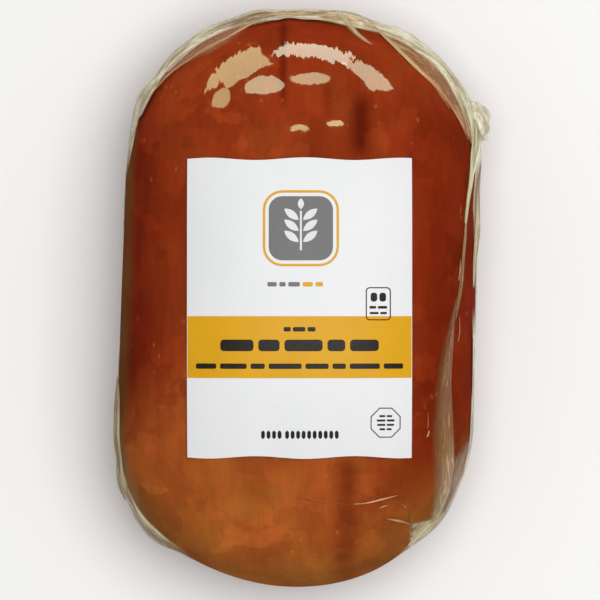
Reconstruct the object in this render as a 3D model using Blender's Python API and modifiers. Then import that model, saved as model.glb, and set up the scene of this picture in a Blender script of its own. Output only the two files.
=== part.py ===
"""A whole boneless ham, shrink-wrapped in clear film, with a paper label on its broad face.

The ham lies on its back on a level surface, label upwards. +Z is up and +Y runs along the ham
towards its domed end. The origin is on the surface, under the middle of the ham's outline.
All lengths are in metres.
"""

import math

import bmesh
import bpy
from mathutils import Vector

# The ham's outline, seen from above: a rounded end each way, with leaning flanks between them.
DOME_START = 0.050
DOME_REACH = 0.080
DOME_POWER = 2.3
DOME_HALF_WIDTH = 0.0810
LOW_START = -0.060
LOW_REACH = 0.0735
LOW_POWER = 2.0
LOW_HALF_WIDTH = 0.0820
LEAN = 0.027
DOME_TIP_SHIFT = -0.0035
LOW_TIP_SHIFT = 0.0030
TIP_LENGTH = 0.020
OUTLINE_LIMIT = 0.2
OUTLINE_HALVINGS = 24

# The ham's depth: its widest outline is the rim, with the crown above and the back below. The
# back would reach a little under the surface, so it is cut off there to the flat that it rests on.
RIM_HEIGHT = 0.050
CROWN_RISE = 0.067
BACK_DROP = 0.052
OUTLINE_POWER = 2.35
CROWN_POWER = 2.25
BACK_POWER = 2.7
END_FALL = 0.003

# Long furrows in the meat: place across the ham, depth, half width, and where each runs along it.
FURROWS = (
    (0.0215, 0.0024, 0.0070, -0.135, -0.064),
    (0.0285, 0.0020, 0.0060, 0.060, 0.122),
    (-0.0080, 0.0009, 0.0050, 0.064, 0.130),
    (0.0440, 0.0010, 0.0060, 0.062, 0.115),
    (-0.0380, 0.0010, 0.0090, -0.125, -0.076),
)
FURROW_EASE = 0.020
FURROW_FADE = 0.5

# Film that stands off the ham along its rim: where each stretch starts and ends, as compass
# angles from +X, how far it stands off, and the angle over which it eases in and out. Its edge
# ripples are (count round the rim, phase, share of the stand-off).
FILM_CLOSE = 0.0014
FILM_STANDOFFS = (
    (38, 135, 0.0034, 14),
    (16, 40, 0.0008, 10),
    (225, 242, 0.0042, 9),
    (296, 308, 0.0014, 6),
)
TENT_SPREAD = 0.15
EDGE_RIPPLES = ((23, 0.0, 0.14), (37, 1.0, 0.08))
FACE_RIPPLE_HEIGHT = 0.0007
FACE_RIPPLES_UP = 14
FACE_RIPPLES_ROUND = 9

# How finely the bag is divided: round the rim, and from the crown to the back.
RIM_STEPS = 92
LEVEL_STEPS = 34
LEVEL_CROWDING = 1.35
RIM_ASPECT = 1.5

# Folds of film lying on the bag: the points that each follows, as (compass angle, angle above
# the rim) in degrees, then its width and its height. A fold's edges sink a little into the bag.
FOLDS = {
    "right_pleat_long": (((43, 2), (35, 14), (25, 23), (11, 27), (-1, 30)), 0.0052, 0.0022),
    "right_pleat_edge": (((41, -5), (30, 4), (20, 6), (8, 3)), 0.0046, 0.0020),
    "right_pleat_under": (((41, -13), (28, -9), (12, -10), (-6, -15)), 0.0046, 0.0018),
    "fold_over_strip": (((-2, 31), (-15, 34), (-29, 36), (-45, 33), (-60, 14)), 0.0100, 0.0012),
    "top_right_pleat": (((78, 10), (67, 22), (56, 25), (44, 14)), 0.0062, 0.0018),
    "top_pleat": (((126, 8), (108, 10), (90, 9), (72, 7)), 0.0036, 0.0018),
    "top_left_pleat": (((155, 6), (138, 11), (122, 14), (106, 19)), 0.0044, 0.0016),
    "left_pleat_upper": (((200, 10), (210, 11), (220, 10), (230, 6)), 0.0034, 0.0016),
    "left_pleat_lower": (((206, -6), (217, -4), (228, -5), (239, -9)), 0.0036, 0.0018),
    "crease_below_label": (((-94, 51), (-83, 50), (-74, 46), (-62, 39)), 0.0028, 0.0010),
    "back_pleat_right": (((28, -24), (8, -34), (-14, -36), (-34, -30)), 0.0064, 0.0014),
    "back_pleat_left": (((150, -20), (172, -32), (194, -34), (216, -26)), 0.0064, 0.0014),
}
FOLD_STEPS = 12
FOLD_COLUMNS = 4
FOLD_ROOT = 0.0016
FOLD_SINK = 0.0005
FOLD_TIP = 0.06
FOLD_TAPER = 0.6

# The gathered end of the bag, a bunch of film at the upper right of the rim, and the compass angle
# that it faces. Its size is outwards, along the rim and upwards, and its ruffles are
# (count round it, count along it, depth).
GATHER_AT = (46.5, 0)
GATHER_FACING = 15
GATHER_SIZE = (0.0080, 0.0094, 0.0066)
GATHER_RUFFLES = ((5, 2.0, 0.16), (9, 3.5, 0.10), (3, 6.0, 0.10))
GATHER_STEPS = (26, 14)

# The label, seen from above.
LABEL_WIDTH = 0.1018
LABEL_HEIGHT = 0.1352
LABEL_CENTRE = Vector((0.0006, -0.0046))
LABEL_THICKNESS = 0.0005
LABEL_GAP = 0.0008
LABEL_COLUMNS = 20
LABEL_ROWS = 24
LABEL_WAVE = 0.0006
LABEL_WAVES = 2.3
LABEL_WAVE_PHASE = 1.2

# The colours, as linear RGB, and the roughness of each finish.
SMOKED_MEAT = (0.235, 0.045, 0.016, 1.0)
SMOKED_MEAT_ROUGHNESS = 0.18
LABEL_PAPER = (0.83, 0.84, 0.85, 1.0)
LABEL_PAPER_ROUGHNESS = 0.55


def clear_scene():
    for thing in list(bpy.data.objects):
        bpy.data.objects.remove(thing, do_unlink=True)


def new_collection(name):
    collection = bpy.data.collections.new(name)
    bpy.context.scene.collection.children.link(collection)
    return collection


def new_material(name, colour, roughness):
    material = bpy.data.materials.new(name)
    material.use_nodes = True
    material.diffuse_color = colour
    shader = material.node_tree.nodes["Principled BSDF"]
    shader.inputs["Base Color"].default_value = colour
    shader.inputs["Roughness"].default_value = roughness
    shader.inputs["Metallic"].default_value = 0.0
    return material


def superellipse(share, power):
    """The other coordinate of a superellipse, both running from 0 to 1."""
    return max(0.0, 1 - min(1.0, abs(share)) ** power) ** (1 / power)


def smooth_step(low, high, value):
    share = min(max((value - low) / (high - low), 0.0), 1.0)
    return share * share * (3 - 2 * share)


def half_width(y):
    """Half of the ham's width: a domed end, leaning flanks and a rounder low end."""
    if y > DOME_START:
        return DOME_HALF_WIDTH * superellipse((y - DOME_START) / DOME_REACH, DOME_POWER)
    if y < LOW_START:
        return LOW_HALF_WIDTH * superellipse((LOW_START - y) / LOW_REACH, LOW_POWER)
    share = (y - LOW_START) / (DOME_START - LOW_START)
    return LOW_HALF_WIDTH + share * (DOME_HALF_WIDTH - LOW_HALF_WIDTH)


def middle(y):
    """The middle of the ham's width: it leans, and both tips are a little off it."""
    dome_tip = smooth_step(DOME_START + DOME_REACH - TIP_LENGTH, DOME_START + DOME_REACH, y)
    low_tip = smooth_step(LOW_REACH - LOW_START - TIP_LENGTH, LOW_REACH - LOW_START, -y)
    return LEAN * y + DOME_TIP_SHIFT * dome_tip + LOW_TIP_SHIFT * low_tip


def rim_reach(turn):
    """How far the ham's outline is from its crown in one compass direction."""
    nearest = 0.0
    farthest = OUTLINE_LIMIT
    for _ in range(OUTLINE_HALVINGS):
        reach = (nearest + farthest) / 2
        x = reach * math.cos(turn)
        y = reach * math.sin(turn)
        if abs(x - middle(y)) < half_width(y):
            nearest = reach
        else:
            farthest = reach
    return nearest


def film_standoff(turn):
    """How far the film stands off the ham's rim, with ripples where it is slack."""
    slack = 0.0
    for start, end, height, ease in FILM_STANDOFFS:
        apart = abs((math.degrees(turn) - (start + end) / 2 + 180) % 360 - 180)
        reach = (end - start) / 2
        slack += height * (1 - smooth_step(reach - ease / 2, reach + ease / 2, apart))
    for count, phase, share in EDGE_RIPPLES:
        slack *= 1 + share * math.sin(count * turn + phase)
    return FILM_CLOSE + slack


def furrow_depth(x, y):
    depth = 0.0
    for place, deepest, spread, start, end in FURROWS:
        rise = smooth_step(start, start + FURROW_EASE, y)
        fall = smooth_step(end - FURROW_EASE, end, y)
        depth += deepest * (rise - fall) * math.exp(-(((x - place) / spread) ** 2))
    return depth


def bag_point(turn, lift):
    """A point of the bagged ham: turn goes round the rim, lift from the back to the crown."""
    share = max(0.0, math.cos(lift)) ** (2 / OUTLINE_POWER)
    tent = math.exp(-((lift / TENT_SPREAD) ** 2))
    standoff = film_standoff(turn)
    reach = rim_reach(turn) * share + standoff * tent
    x = reach * math.cos(turn)
    y = reach * math.sin(turn)
    if lift >= 0:
        rise = CROWN_RISE - END_FALL * (y / DOME_REACH) ** 2
        z = RIM_HEIGHT + rise * math.sin(lift) ** (2 / CROWN_POWER)
        z -= furrow_depth(x, y) * smooth_step(0, FURROW_FADE, lift)
    else:
        z = RIM_HEIGHT - BACK_DROP * math.sin(-lift) ** (2 / BACK_POWER)
    slack = min(standoff / FILM_CLOSE - 1, 1.0)
    ripple = math.sin(FACE_RIPPLES_UP * lift + FACE_RIPPLES_ROUND * turn)
    z += FACE_RIPPLE_HEIGHT * tent * slack * ripple
    return Vector((x, y, max(z, 0.0)))


def bag_normal(turn, lift):
    """Which way the bag faces at a point, from two small steps along it."""
    step = math.radians(1)
    around = bag_point(turn + step, lift) - bag_point(turn - step, lift)
    upwards = bag_point(turn, lift + step) - bag_point(turn, lift - step)
    return around.cross(upwards).normalized()


def object_of(shape, name, collection, material):
    mesh = bpy.data.meshes.new(name)
    shape.to_mesh(mesh)
    shape.free()
    mesh.materials.append(material)
    made = bpy.data.objects.new(name, mesh)
    collection.objects.link(made)
    return made


def make_bag(collection, material):
    """The ham in its film: a sphere of rings round +Z, moved out to the ham's form."""
    shape = bmesh.new()
    bmesh.ops.create_uvsphere(shape, u_segments=RIM_STEPS, v_segments=LEVEL_STEPS, radius=1.0)
    quarter = math.pi / 2
    for vertex in shape.verts:
        turn = math.atan2(vertex.co.y * RIM_ASPECT, vertex.co.x)
        lift = math.asin(max(-1.0, min(1.0, vertex.co.z)))
        crowded = quarter * (abs(lift) / quarter) ** LEVEL_CROWDING
        vertex.co = bag_point(turn, math.copysign(crowded, lift))
    bmesh.ops.recalc_face_normals(shape, faces=shape.faces)
    return object_of(shape, "bagged_ham", collection, material)


def along_path(points, share):
    """A smooth way through a fold's points, with share from 0 at the first to 1 at the last."""
    spans = len(points) - 1
    span = min(int(share * spans), spans - 1)
    t = share * spans - span
    p0 = Vector(points[max(span - 1, 0)])
    p1 = Vector(points[span])
    p2 = Vector(points[span + 1])
    p3 = Vector(points[min(span + 2, spans)])
    straight = (p2 - p0) * t + (2 * p0 - 5 * p1 + 4 * p2 - p3) * t**2
    return p1 + 0.5 * (straight + (3 * p1 - p0 - 3 * p2 + p3) * t**3)


def make_fold(name, points, width, height, collection, material):
    """One fold: a ribbon on the bag with a crest along its middle, thick enough to reach in."""
    shape = bmesh.new()
    bmesh.ops.create_grid(shape, x_segments=FOLD_STEPS, y_segments=FOLD_COLUMNS, size=1.0)
    for vertex in shape.verts:
        share = (vertex.co.x + 1) / 2
        column = vertex.co.y
        turn, lift = (math.radians(angle) for angle in along_path(points, share))
        ahead = along_path(points, min(share + 0.02, 1.0))
        behind = along_path(points, max(share - 0.02, 0.0))
        forward = bag_point(*map(math.radians, ahead)) - bag_point(*map(math.radians, behind))
        normal = bag_normal(turn, lift)
        across = normal.cross(forward).normalized()
        taper = math.sin(math.pi * (FOLD_TIP + (1 - 2 * FOLD_TIP) * share)) ** FOLD_TAPER
        crest = (height + FOLD_SINK) * taper * (1 - column**2) - FOLD_SINK
        vertex.co = bag_point(turn, lift) + across * (column * width / 2 * taper) + normal * crest
    fold = object_of(shape, name, collection, material)
    body = fold.modifiers.new("Body", "SOLIDIFY")
    body.thickness = height + FOLD_ROOT
    body.offset = -1
    fold.hide_render = True
    fold.display_type = "WIRE"
    return fold


def make_gather(collection, material):
    """The bunched end of the bag: a small cushion of film with uneven ruffles."""
    turn, lift = (math.radians(angle) for angle in GATHER_AT)
    around_steps, level_steps = GATHER_STEPS
    shape = bmesh.new()
    bmesh.ops.create_uvsphere(
        shape, u_segments=around_steps, v_segments=level_steps, radius=1.0
    )
    for vertex in shape.verts:
        around = math.atan2(vertex.co.y, vertex.co.x)
        level = math.hypot(vertex.co.x, vertex.co.y)
        swell = 1.0
        for count, climb, depth in GATHER_RUFFLES:
            swell += depth * level * math.sin(count * around + climb * vertex.co.z)
        vertex.co = swell * vertex.co * Vector(GATHER_SIZE)
    gather = object_of(shape, "gathered_end", collection, material)
    gather.location = bag_point(turn, lift)
    gather.rotation_euler.z = math.radians(GATHER_FACING)
    gather.hide_render = True
    gather.display_type = "WIRE"
    return gather


def fill_sealed_gaps(bag):
    """Removes the walls of the tiny gaps that the folds seal, so the bag is solid there."""
    shape = bmesh.new()
    shape.from_mesh(bag.data)
    unseen = set(shape.verts)
    outer_wall = set()
    while unseen:
        wall = set()
        ahead = [unseen.pop()]
        while ahead:
            vertex = ahead.pop()
            wall.add(vertex)
            neighbours = {edge.other_vert(vertex) for edge in vertex.link_edges} & unseen
            unseen -= neighbours
            ahead.extend(neighbours)
        if len(wall) > len(outer_wall):
            outer_wall = wall
    inner = [vertex for vertex in shape.verts if vertex not in outer_wall]
    bmesh.ops.delete(shape, geom=inner, context="VERTS")
    shape.to_mesh(bag.data)
    shape.free()


def join_film(bag, pieces):
    """Makes the folds and the gathered end one with the bag, then removes them."""
    join = bag.modifiers.new("Folds", "BOOLEAN")
    join.operation = "UNION"
    join.operand_type = "COLLECTION"
    join.collection = pieces
    join.solver = "MANIFOLD"
    bpy.context.view_layer.objects.active = bag
    bpy.ops.object.modifier_apply(modifier=join.name)
    for piece in list(pieces.objects):
        bpy.data.objects.remove(piece, do_unlink=True)
    fill_sealed_gaps(bag)
    bag.data.shade_smooth()
    bag.data.set_sharp_from_angle(angle=math.radians(40))


def make_label(bag, collection, material):
    """The paper label: a sheet with slightly wavy ends, laid on the bag from above."""
    shape = bmesh.new()
    bmesh.ops.create_grid(shape, x_segments=LABEL_COLUMNS, y_segments=LABEL_ROWS, size=0.5)
    for vertex in shape.verts:
        wave = LABEL_WAVE * math.sin(2 * math.pi * LABEL_WAVES * vertex.co.x + LABEL_WAVE_PHASE)
        vertex.co.x = LABEL_CENTRE.x + LABEL_WIDTH * vertex.co.x
        vertex.co.y = LABEL_CENTRE.y + (LABEL_HEIGHT + 2 * wave) * vertex.co.y
        vertex.co.z = 2 * (RIM_HEIGHT + CROWN_RISE)
    label = object_of(shape, "label", collection, material)
    lay = label.modifiers.new("Laid on the bag", "SHRINKWRAP")
    lay.target = bag
    lay.wrap_method = "PROJECT"
    lay.use_project_z = True
    lay.use_positive_direction = False
    lay.use_negative_direction = True
    lift = label.modifiers.new("Clear of the bag", "SHRINKWRAP")
    lift.target = bag
    lift.wrap_method = "NEAREST_SURFACEPOINT"
    lift.wrap_mode = "ABOVE_SURFACE"
    lift.offset = LABEL_GAP
    paper = label.modifiers.new("Paper", "SOLIDIFY")
    paper.thickness = LABEL_THICKNESS
    paper.offset = 1
    return label


def centre_on_origin(objects):
    """Puts the origin on the surface under the middle of the outline."""
    bpy.context.view_layer.update()
    corners = [thing.matrix_world @ Vector(c) for thing in objects for c in thing.bound_box]
    low = [min(corner[axis] for corner in corners) for axis in (0, 1)]
    high = [max(corner[axis] for corner in corners) for axis in (0, 1)]
    frame = bpy.data.objects.new("ham_frame", None)
    bpy.context.scene.collection.objects.link(frame)
    frame.location = (-(low[0] + high[0]) / 2, -(low[1] + high[1]) / 2, 0.0)
    for thing in objects:
        thing.parent = frame


def main():
    clear_scene()
    ham = new_collection("boneless_ham")
    folds = new_collection("film_folds")
    meat = new_material("smoked_ham_in_film", SMOKED_MEAT, SMOKED_MEAT_ROUGHNESS)
    paper = new_material("label_paper", LABEL_PAPER, LABEL_PAPER_ROUGHNESS)
    bag = make_bag(ham, meat)
    for name, (points, width, height) in FOLDS.items():
        make_fold(name, points, width, height, folds, meat)
    make_gather(folds, meat)
    bpy.context.view_layer.update()
    join_film(bag, folds)
    label = make_label(bag, ham, paper)
    centre_on_origin([bag, label])


main()
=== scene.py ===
# A whole boneless ham in clear film, its paper label upwards. Lengths are in metres.
from bisect import bisect_left
from itertools import accumulate
from math import acos, asin, atan2, ceil, copysign, cos, degrees, exp, hypot, pi, radians, sin, tan

import bmesh
import bpy
from mathutils import Matrix, Quaternion, Vector, noise


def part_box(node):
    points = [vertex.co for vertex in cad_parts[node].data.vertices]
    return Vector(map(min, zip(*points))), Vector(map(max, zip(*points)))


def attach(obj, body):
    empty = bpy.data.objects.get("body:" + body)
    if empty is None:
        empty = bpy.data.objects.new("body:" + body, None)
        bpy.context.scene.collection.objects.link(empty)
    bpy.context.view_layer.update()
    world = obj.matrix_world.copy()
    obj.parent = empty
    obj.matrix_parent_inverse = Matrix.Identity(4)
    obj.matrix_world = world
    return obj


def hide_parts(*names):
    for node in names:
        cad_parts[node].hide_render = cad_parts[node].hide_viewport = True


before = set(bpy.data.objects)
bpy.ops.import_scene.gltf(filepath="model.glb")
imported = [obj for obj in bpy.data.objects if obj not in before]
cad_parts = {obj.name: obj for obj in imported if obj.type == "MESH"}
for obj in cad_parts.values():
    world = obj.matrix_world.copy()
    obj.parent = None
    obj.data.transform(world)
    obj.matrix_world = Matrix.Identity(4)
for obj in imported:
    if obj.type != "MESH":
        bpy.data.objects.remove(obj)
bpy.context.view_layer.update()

print("frame loaded")

# The ham's form: a domed end at +Y, leaning flanks, a rounder low end. Its widest outline is the rim.
hamForm = {
    "crownFromCorner": (0.086, 0.1349),  # from the low corner of the bagged ham's box
    "domeStart": 0.05, "domeReach": 0.08, "domePower": 2.3, "domeHalfWidth": 0.081,
    "lowStart": -0.06, "lowReach": 0.0735, "lowPower": 2.0, "lowHalfWidth": 0.082,
    "lean": 0.027, "domeTipShift": -0.0035, "lowTipShift": 0.003, "tipLength": 0.02,
    "outlineLimit": 0.2, "outlineHalvings": 24,
    "rimHeight": 0.05, "crownRise": 0.067, "backDrop": 0.052, "endFall": 0.003,
    "outlinePower": 2.35, "crownPower": 2.25, "backPower": 2.7,
    "rimAspect": 1.5,
}

# Long furrows in the meat: place across, depth, half width, and where each runs along the ham.
furrows = (
    (0.0215, 0.0024, 0.007, -0.135, -0.064),
    (0.0285, 0.002, 0.006, 0.06, 0.122),
    (-0.008, 0.0009, 0.005, 0.064, 0.13),
    (0.044, 0.001, 0.006, 0.062, 0.115),
    (-0.038, 0.001, 0.009, -0.125, -0.076),
)
furrowEase = 0.02
furrowFade = 0.5

# Film that stands off the ham at its rim: start and end in degrees, how far, and ease.
filmClose = 0.0014
filmStandoffs = (
    (38, 135, 0.0034, 14),
    (16, 40, 0.0008, 10),
    (225, 242, 0.0042, 9),
    (296, 308, 0.0014, 6),
)
edgeRipples = ((23, 0.0, 0.14), (37, 1.0, 0.08))
tentSpread = 0.15
faceRipples = {"height": 0.0007, "up": 14, "round": 9}

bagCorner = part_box("bagged_ham")[0]
toCrown = hamForm["crownFromCorner"]
crownAt = Vector((bagCorner.x + toCrown[0], bagCorner.y + toCrown[1], 0.0))


def superellipse(share, power):
    return max(0.0, 1 - min(1.0, abs(share)) ** power) ** (1 / power)


def smoothStep(low, high, value):
    share = min(max((value - low) / (high - low), 0.0), 1.0)
    return share * share * (3 - 2 * share)


def halfWidth(y):
    form = hamForm
    if y > form["domeStart"]:
        share = (y - form["domeStart"]) / form["domeReach"]
        return form["domeHalfWidth"] * superellipse(share, form["domePower"])
    if y < form["lowStart"]:
        share = (form["lowStart"] - y) / form["lowReach"]
        return form["lowHalfWidth"] * superellipse(share, form["lowPower"])
    share = (y - form["lowStart"]) / (form["domeStart"] - form["lowStart"])
    return form["lowHalfWidth"] + share * (form["domeHalfWidth"] - form["lowHalfWidth"])


def middleLine(y):
    form = hamForm
    domeEnd = form["domeStart"] + form["domeReach"]
    lowEnd = form["lowReach"] - form["lowStart"]
    domeTip = smoothStep(domeEnd - form["tipLength"], domeEnd, y)
    lowTip = smoothStep(lowEnd - form["tipLength"], lowEnd, -y)
    return form["lean"] * y + form["domeTipShift"] * domeTip + form["lowTipShift"] * lowTip


knownReaches = {}


def rimReach(turn):
    # how far the outline is from the crown, turn in radians
    key = round(turn, 6)
    if key not in knownReaches:
        nearest, farthest = 0.0, hamForm["outlineLimit"]
        for _ in range(hamForm["outlineHalvings"]):
            reach = (nearest + farthest) / 2
            x, y = reach * cos(turn), reach * sin(turn)
            if abs(x - middleLine(y)) < halfWidth(y):
                nearest = reach
            else:
                farthest = reach
        knownReaches[key] = nearest
    return knownReaches[key]


def withinTurns(turn, start, end, ease):
    # 1 inside a stretch of the rim, easing to 0 at its ends
    reach = (end - start) / 2
    apart = abs((degrees(turn) - (start + end) / 2 + 180) % 360 - 180)
    return 1 - smoothStep(reach - ease / 2, reach + ease / 2, apart)


def filmStandoff(turn):
    slack = sum(far * withinTurns(turn, start, end, ease) for start, end, far, ease in filmStandoffs)
    for count, phase, share in edgeRipples:
        slack *= 1 + share * sin(count * turn + phase)
    return filmClose + slack


def furrowDepth(x, y):
    depth = 0.0
    for place, deepest, spread, start, end in furrows:
        rise = smoothStep(start, start + furrowEase, y)
        fall = smoothStep(end - furrowEase, end, y)
        if rise > fall:
            depth += deepest * (rise - fall) * exp(-(((x - place) / spread) ** 2))
    return depth


def bagPoint(turn, lift):
    # a point of the film, from the crown's place; both angles in radians
    form = hamForm
    share = max(0.0, cos(lift)) ** (2 / form["outlinePower"])
    tent = exp(-((lift / tentSpread) ** 2))
    standoff = filmStandoff(turn)
    reach = rimReach(turn) * share + standoff * tent
    x, y = reach * cos(turn), reach * sin(turn)
    if lift >= 0:
        rise = form["crownRise"] - form["endFall"] * (y / form["domeReach"]) ** 2
        z = form["rimHeight"] + rise * sin(lift) ** (2 / form["crownPower"])
        z -= furrowDepth(x, y) * smoothStep(0, furrowFade, lift)
    else:
        z = form["rimHeight"] - form["backDrop"] * sin(-lift) ** (2 / form["backPower"])
    slack = min(standoff / filmClose - 1, 1.0)
    ripple = sin(faceRipples["up"] * lift + faceRipples["round"] * turn)
    z += faceRipples["height"] * tent * slack * ripple
    return Vector((x, y, max(z, 0.0)))


def bagNormal(turn, lift, pointOf=bagPoint):
    step = radians(1)
    around = pointOf(turn + step, lift) - pointOf(turn - step, lift)
    upwards = pointOf(turn, lift + step) - pointOf(turn, lift - step)
    return around.cross(upwards).normalized()


# The label, measured from the crown.
labelSize = {
    "width": 0.1018, "height": 0.1352, "middle": (0.0006, -0.0046), "gap": 0.0007, "paper": 0.0003,
    "wave": 0.0006, "waves": 2.3, "wavePhase": 1.2, "columns": 110, "rows": 146,
    "buckle": 0.00022, "buckles": 3.4, "buckleReach": 0.01,
}


def underLabel(x, y, ease):
    acrossGap = abs(x - labelSize["middle"][0]) - labelSize["width"] / 2
    alongGap = abs(y - labelSize["middle"][1]) - labelSize["height"] / 2
    return 1 - smoothStep(-ease, ease, max(acrossGap, alongGap))


# Lumps and ripples of the ham under its tight film: how many and how deep.
unevenness = {"lumps": (34, 15), "lumpDepth": 0.00055, "ripples": (110, 34), "rippleDepth": 0.00016}


def hamRelief(x, y, lift):
    if lift <= 0:
        return 0.0
    lumpX, lumpY = unevenness["lumps"]
    rippleX, rippleY = unevenness["ripples"]
    height = unevenness["lumpDepth"] * noise.noise(Vector((x * lumpX, y * lumpY, 3.1)))
    height += unevenness["rippleDepth"] * noise.noise(Vector((x * rippleX, y * rippleY, 7.7)))
    return height * smoothStep(0.05, 0.4, lift) * (1 - underLabel(x, y, 0.006))


def deselectAll():
    bpy.ops.object.select_all(action="DESELECT")


def selectOnly(*pieces):
    deselectAll()
    for piece in pieces:
        piece.select_set(True)
    bpy.context.view_layer.objects.active = pieces[0]


def namedPiece(name):
    # the piece that was just added, with its name
    piece = bpy.context.active_object
    piece.name = piece.data.name = name
    return piece


def evenLifts(rings, backRings):
    # lifts whose rings are about evenly spaced over the surface
    fine, meanTurn = 400, 0.9

    def spaced(count, side):
        points = [bagPoint(meanTurn, side * step / fine) for step in range(fine + 1)]
        along = [0.0, *accumulate((b - a).length for a, b in zip(points, points[1:]))]
        lifts = []
        for ring in range(1, count + 1):
            goal = along[-1] * ring / count
            place = bisect_left(along, goal - 1e-9) - 1
            part = (goal - along[place]) / (along[place + 1] - along[place])
            lifts.append(side * min(place + part, fine) / fine)
        return lifts

    return spaced(backRings, radians(-90))[::-1] + [0.0] + spaced(rings, radians(90))


def addShell(name, columns, rings, backRings, pointOf):
    # a ball whose vertices are moved out to the form
    deselectAll()
    total = rings + backRings
    bpy.ops.mesh.primitive_uv_sphere_add(segments=columns, ring_count=total, radius=1.0)
    shell = namedPiece(name)
    lifts = evenLifts(rings, backRings)
    places = []
    for vertex in shell.data.vertices:
        level = asin(max(-1.0, min(1.0, vertex.co.z)))
        lift = lifts[round((level / pi + 0.5) * total)]
        turn = atan2(vertex.co.y * hamForm["rimAspect"], vertex.co.x)
        places.append((turn, lift))
        vertex.co = pointOf(turn, lift)
    return shell, places


def addAttribute(piece, name, kind, values):
    # numbers, vectors or colours, one for each vertex
    layer = piece.data.attributes.new(name, kind, "POINT")
    if kind == "FLOAT_COLOR":
        values = [(*value, 1.0) for value in values]
    if kind != "FLOAT":
        values = [number for value in values for number in value]
    layer.data.foreach_set({"FLOAT": "value", "FLOAT_VECTOR": "vector"}.get(kind, "color"), values)


def finishPiece(piece, material, smoothAngle=None):
    piece.data.materials.clear()
    piece.data.materials.append(material)
    selectOnly(piece)
    if smoothAngle is None:
        bpy.ops.object.shade_smooth()
    else:
        bpy.ops.object.shade_smooth_by_angle(angle=radians(smoothAngle))
    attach(piece, "root")


def thicken(piece, name, thickness, offset):
    # a thin sheet of film, paper or ink gets its two sides
    sheet = piece.modifiers.new(name, "SOLIDIFY")
    sheet.thickness = thickness
    sheet.offset = offset
    bpy.context.view_layer.objects.active = piece
    bpy.ops.object.modifier_apply(modifier=name)


def linear(colour):
    # a colour as a screen shows it, 0 to 255, in linear light
    def one(value):
        value /= 255
        return value / 12.92 if value <= 0.04045 else ((value + 0.055) / 1.055) ** 2.4

    return tuple(one(value) for value in colour)


def mixed(first, second, share):
    return tuple(a + (b - a) * share for a, b in zip(first, second))


# Small helpers for materials: nodes in the newest one, each input a plain value or an output.
newest = {}


def fill(node, inputs):
    for key, value in inputs.items():
        socket = node.inputs[key]
        if isinstance(value, bpy.types.NodeSocket):
            newest["tree"].links.new(value, socket)
        else:
            socket.default_value = (*value, 1.0) if socket.type == "RGBA" else value


def newMaterial(name):
    material = bpy.data.materials.new(name)
    material.use_nodes = True
    newest["tree"] = material.node_tree
    return material


def finishMaterial(material, inputs):
    fill(material.node_tree.nodes["Principled BSDF"], inputs)
    return material


def addNode(kind, inputs=None, **settings):
    made = newest["tree"].nodes.new("ShaderNode" + kind)
    for key, value in settings.items():
        setattr(made, key, value)
    fill(made, inputs or {})
    return made


def readAttribute(name, output):
    return addNode("Attribute", attribute_name=name).outputs[output]


def objectPlace(scale):
    place = addNode("TexCoord").outputs["Object"]
    return addNode("Mapping", {"Vector": place, "Scale": scale}).outputs["Vector"]


def addNoise(vector, detail=2.0, rough=0.5, distortion=0.0):
    return addNode("TexNoise", {
        "Vector": vector, "Scale": 1.0, "Detail": detail, "Roughness": rough, "Distortion": distortion,
    }).outputs["Fac"]


def objectNoise(scale, *settings):
    return addNoise(objectPlace(scale), *settings)


def attributeNoise(name, scale, *settings):
    place = readAttribute(name, "Vector")
    place = addNode("Mapping", {"Vector": place, "Scale": scale}).outputs["Vector"]
    return addNoise(place, *settings)


def mapRange(value, fromLow, fromHigh, toLow=0.0, toHigh=1.0):
    return addNode("MapRange", {
        "Value": value, "From Min": fromLow, "From Max": fromHigh, "To Min": toLow, "To Max": toHigh,
    }).outputs["Result"]


def mathNode(operation, first, second=0.0, clamp=False):
    made = addNode("Math", {0: first, 1: second}, operation=operation, use_clamp=clamp)
    return made.outputs["Value"]


def vectorMath(operation, inputs):
    return addNode("VectorMath", inputs, operation=operation).outputs["Vector"]


def mixColour(share, first, second, blend="MIX"):
    inputs = {"Factor": share, 6: first, 7: second}
    return addNode("Mix", inputs, data_type="RGBA", blend_type=blend).outputs[2]


def addBump(height, distance, **under):
    return addNode("Bump", {"Height": height, "Distance": distance, **under}).outputs["Normal"]


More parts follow.
